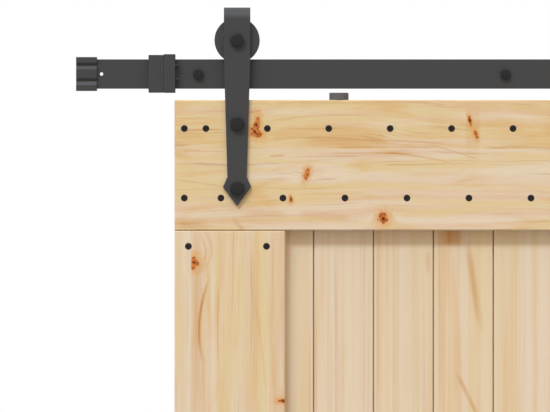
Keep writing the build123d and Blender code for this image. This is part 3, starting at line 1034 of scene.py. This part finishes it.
def makeStop(side, way):
    low, high = boxOf(f"stop_clamp_{side}")
    solid = prism(oblong(low.y, high.y, low.z, high.z), low.x, high.x, sideways(0))
    lineX = high.x - stops["lineInset"] if way > 0 else low.x + stops["lineInset"]
    half, tall = stops["lineWidth"] / 2, stops["lineHeight"] / 2
    line = oblong(lineX - half, lineX + half, -tall, tall)
    thick, backward = high.y - railHigh.y, inwards((low.x + high.x) / 2, 0, -high.y)
    cutters = [railHole(low.x - 1, high.x + 1, stops["gap"], sideways(0)),
               prism(line, -stops["lineDepth"], 1, towards(0, 0, -low.y)),
               rod(stops["screw"], 1, -thick - 1, backward, 40)]
    piece(solid, f"stopClamp_{side}", steel, "track", f"stop_clamp_{side}",
          ease=stops["easing"], cutters=cutters)

    radius, sunk, edge = stops["screw"] - stops["screwGap"], stops["screwSunk"], stops["screwEdge"]
    profile = [(0, -sunk), (radius - edge, -sunk), (radius, -sunk - edge), (radius, -thick), (0, -thick)]
    key = prism(hexCorners(stops["key"], False), -stops["keyDepth"], 1, backward)
    piece(lathe(profile, backward, 32), f"stopSetScrew_{side}", boltCoat, "track", cutters=[key])

    low, high = boxOf(f"stop_buffer_{side}")
    reach, inset, half = stops["ribReach"], stops["ribInset"], stops["ribThickness"] / 2
    start, end = (low.x, high.x - reach) if way > 0 else (low.x + reach, high.x)
    solid = prism(oblong(low.y, high.y, low.z, high.z), start, end, sideways(0))
    buffer = eased(objectOf(solid, f"stopBuffer_{side}"), stops["bufferEasing"], 3)
    cut(buffer, railHole(start - 1, end + 1, stops["gap"], sideways(0)))
    shaded(buffer)
    face = end if way > 0 else start
    left, right = sorted((face - way * stops["ribRoot"], face + way * reach))
    ribs = []
    for z in stops["ribHeights"]:
        outline = rounded(oblong(left, right, z - half, z + half), stops["ribRound"], 4)
        ribs.append(prism(outline, railFront + inset, -low.y - inset, towards(0, 0, 0)))
    rib = shaded(eased(objectOf(together(*ribs), "ribs"), stops["ribEasing"]))
    solid = bmesh.new()
    solid.from_mesh(buffer.data)
    solid.from_mesh(rib.data)
    solid.to_mesh(buffer.data)
    solid.free()
    bpy.data.objects.remove(rib)
    placed(shaded(buffer), rubber, "track", f"stop_buffer_{side}")


makeStop("left", 1)
makeStop("right", -1)

print("hangers")

strap = {
    "thickness": 5,
    "width": 36,
    "bendRadius": 16,  # outside
    "neckWidth": 26.3,
    "neckDepth": 104.8,  # from the leaf's top
    "arrowWidth": 38.5,
    "arrowDepth": 118.4,
    "tipRound": 1.5,
    "tipOver": 0.6,  # what the rounding takes off the tip
    "arrowRound": 1.2,
    "waistRound": 2,
    "backCorner": 8,
    "backDrop": 18,  # how far the back leg goes below the axle
    "taperFrom": 20,  # height where the bar starts to narrow
    "easing": 0.6,
    "bendSteps": 36,
    "holeRadius": 5.1,
    "boltDepths": (32.3, 119.9),
    "bolt": {"flats": 18, "head": 6.4, "upright": True,
             "shank": 5, "steps": 40, "thread": (3.7, 4, 8, 32)},
    "boltPlain": 9,
}
hangers = {
    "axle": {"flats": 17, "head": 6.4, "upright": False,
             "shank": 5, "steps": 48, "thread": (4.2, 1.5, 0, 40)},
    "threadDepth": 22,  # depth at which the axle's thread starts
    "nut": 8,
    "nutGap": 0.05,
    "ringRadius": 8.7,
    "ringGap": 0.03,
    "ringEdge": 0.3,
    "bearingRadius": 15,
    "raceWidth": 1.6,
    "raceEdge": 0.35,
    "sealGap": 0.3,
    "sealInset": 0.6,
    "sealEdge": 0.2,
    "treadRadius": 25.6,
    "grooveWidth": 8,
    "hub": 20,
    "hubSlope": 2,
    "hubHeight": 0.35,  # how far the hub stands out
    "wheelEasing": 0.9,
}


def makeStrap(side):
    low, high = boxOf(f"hanger_strap_{side}")
    x, axle = (low.x + high.x) / 2, sum(corner.z for corner in boxOf(f"wheel_{side}")) / 2
    thick, radius = strap["thickness"], strap["bendRadius"]
    bendTop, neutral = high.z - radius, radius - thick / 2
    bendFrom = bendTop - low.z  # lengths along the bar, from its tip
    bendLength = math.pi * neutral
    bendTo = bendFrom + bendLength
    total, leafTop = bendTo + bendTop - axle + strap["backDrop"], leafHigh.z - low.z
    half, neck, arrow = strap["width"] / 2, strap["neckWidth"] / 2, strap["arrowWidth"] / 2
    right = [(half, total), (half, strap["taperFrom"] - low.z), (neck, leafTop - strap["neckDepth"]),
             (arrow, leafTop - strap["arrowDepth"])]
    rounds = [strap["backCorner"], 0, strap["waistRound"], strap["arrowRound"]]
    outline = right + [(0, -strap["tipOver"])] + [(-px, s) for px, s in reversed(right)]
    outline = rounded(outline, rounds + [strap["tipRound"]] + rounds[::-1], 6)
    flat = prism(outline, 0, thick)
    rim = [e for e in flat.edges if abs(e.verts[0].co.z - e.verts[1].co.z) < 0.001]
    bmesh.ops.bevel(flat, geom=rim, offset=strap["easing"], segments=3, profile=0.5, affect="EDGES")
    for k in range(strap["bendSteps"] + 1):
        cutAt = bendFrom + bendLength * k / strap["bendSteps"]
        bmesh.ops.bisect_plane(flat, geom=flat.verts[:] + flat.edges[:] + flat.faces[:],
                               plane_co=(0, cutAt, 0), plane_no=(0, 1, 0))
    for vert in flat.verts:
        across, s, deep = vert.co  # deep counts from the bar's outer face
        if s <= bendFrom:
            vert.co = (x + across, low.y + deep, low.z + s)
        elif s >= bendTo:
            vert.co = (x + across, high.y - deep, bendTop - (s - bendTo))
        else:
            turn, reach = (s - bendFrom) / neutral, radius - deep
            vert.co = (x + across, low.y + radius - reach * math.cos(turn),
                       bendTop + reach * math.sin(turn))
    flat.normal_update()
    bmesh.ops.recalc_face_normals(flat, faces=flat.faces)
    holes = [(axle, 0)] + [(leafHigh.z - depth, leafFront - 1) for depth in strap["boltDepths"]]
    cutters = [rod(strap["holeRadius"], 1 - low.y, back, towards(x, z, 0), 48) for z, back in holes]
    piece(flat, f"hangerStrap_{side}", steel, "door", f"hanger_strap_{side}", cutters=cutters, angle=28)
    return x, axle


def makeWheel(side, x, axle):
    low, high = boxOf(f"wheel_{side}")
    outer, half, groove = high.z - axle, (high.y - low.y) / 2, hangers["grooveWidth"] / 2
    bore, tread, hub = hangers["bearingRadius"], hangers["treadRadius"], hangers["hub"]
    stand, face = towards(x, axle, -(low.y + high.y) / 2), half - hangers["hubHeight"]
    front = [
        (bore, half, 0.3), (hub, half, 0.6), (hub + hangers["hubSlope"], face, 0.6),
        (outer, face, hangers["wheelEasing"]), (outer, groove, 0.5), (tread, groove, 0.6),
    ]
    corners = front + [(r, -h, ease) for r, h, ease in reversed(front)]
    profile = rounded([(r, h) for r, h, _ in corners], [ease for _, _, ease in corners], 3)
    wheel = lathe(profile, stand, 128, closed=True)
    piece(wheel, f"wheel_{side}.turned", steel, f"wheel_{side}", f"wheel_{side}")

    low, high = boxOf(f"wheel_bearing_{side}")
    half, sealOut = (high.y - low.y) / 2, bore - hangers["raceWidth"]
    sealIn, inset = hangers["ringRadius"] + hangers["sealGap"], half - hangers["sealInset"]
    race = tube(sealOut, bore, -half, half, hangers["raceEdge"], stand, 112)
    shield = tube(sealIn, sealOut, -inset, inset, hangers["sealEdge"], stand, 96)
    piece(race, f"wheelBearing_{side}", bright, f"wheel_{side}", f"wheel_bearing_{side}")
    piece(shield, f"bearingSeal_{side}", seal, f"wheel_{side}")


def makeAxles(places):
    bolts, nuts, rings = [], [], []
    tip, nut, ring = boxOf("axle_bolts")[1].y, boxOf("axle_nuts"), boxOf("bearing_inner_rings")
    front = -boxOf("hanger_strap_left")[0].y
    axle = hangers["axle"]
    for x, z in places:
        bolts += boltAt(axle, x, z, front, front - hangers["threadDepth"], front + tip)
        nuts.append(hexSolid(axle["flats"], hangers["nut"], False, towards(x, z, -nut[1].y),
                             bore=axle["shank"] + hangers["nutGap"], bothEnds=True))
        rings.append(tube(axle["shank"] + hangers["ringGap"], hangers["ringRadius"], -ring[1].y, -ring[0].y,
                          hangers["ringEdge"], towards(x, z, 0), 80))
    piece(together(*bolts), "axleBolts", boltCoat, "door", "axle_bolts")
    piece(together(*nuts), "axleNuts", boltCoat, "door", "axle_nuts")
    piece(together(*rings), "bearingInnerRings", bright, "door", "bearing_inner_rings")


def makeStrapBolts(places):
    low, high = boxOf("strap_bolts")
    under = -low.y - strap["bolt"]["head"]  # depth of the heads' undersides
    bolts = []
    for x, _ in places:
        for depth in strap["boltDepths"]:
            bolts += boltAt(strap["bolt"], x, leafHigh.z - depth, under, strap["boltPlain"], under + high.y)
    piece(together(*bolts), "strapBolts", boltCoat, "door", "strap_bolts")


places = [makeStrap(side) for side in ("left", "right")]
for side, (x, axle) in zip(("left", "right"), places):
    makeWheel(side, x, axle)
makeAxles(places)
makeStrapBolts(places)

print("discs and floor guide")

discs = {
    "edge": 0.8,
    "screwHole": 4.4,
    "screwFloor": (1.9, 2.7),  # radius of the hole's floor, and its depth
    "inset": 223.9,  # from the leaf's edges
}


def makeDiscs():
    low, high = boxOf("anti_jump_discs")
    radius, depth = (high.y - low.y) / 2, -(high.y + low.y) / 2
    height, edge, (floor, deep) = high.z - low.z, discs["edge"], discs["screwFloor"]
    profile = [(0, 0), (radius, 0), (radius, height - edge), (radius - edge * 0.3, height - edge * 0.3),
               (radius - edge, height), (discs["screwHole"], height),
               (floor, height - deep), (0, height - deep)]
    centres = [leafLow.x + discs["inset"], leafHigh.x - discs["inset"]]
    solids = [lathe(profile, upwards(x, depth, low.z), 112) for x in centres]
    piece(together(*solids), "antiJumpDiscs", discCoat, "door", "anti_jump_discs")
    screwsAt([(x, high.z - screws["sunk"]) for x in centres], depth, "discScrews", "door", faceUp=True)


makeDiscs()

guide = {
    "thickness": 2.5,
    "fold": 2,
    "easing": 0.45,
    "holeSpacing": 22,
    "holeRadius": 2.6,
    "pad": 2,
    "padEasing": 0.5,
}


def makeGuide():
    low, high = boxOf("floor_guide")
    thick, fold, pad = guide["thickness"], guide["fold"], guide["pad"]
    starts = (high.y - thick - pad, low.y + thick)
    outline = [(low.y, high.z), (low.y, low.z), (high.y, low.z), (high.y, high.z),
               (high.y - thick, high.z), (high.y - thick, low.z + thick),
               (low.y + thick, low.z + thick), (low.y + thick, high.z)]
    radii = [0, fold + thick, fold + thick, 0, 0, fold, fold, 0]
    holes = [rod(guide["holeRadius"], -1, thick + 1, upwards(x, -(low.y + high.y) / 2, low.z), 40)
             for x in (-guide["holeSpacing"] / 2, guide["holeSpacing"] / 2)]
    piece(prism(rounded(outline, radii, 8), low.x, high.x, sideways(0)), "floorGuide", steel, "track",
          "floor_guide", ease=guide["easing"], limit=50, cutters=holes)

    low, high = boxOf("floor_guide_pads")
    pads = [prism(oblong(y, y + pad, low.z, high.z), low.x, high.x, sideways(0)) for y in starts]
    piece(together(*pads), "floorGuidePads", nylon, "track", "floor_guide_pads", ease=guide["padEasing"])


makeGuide()

print("done")
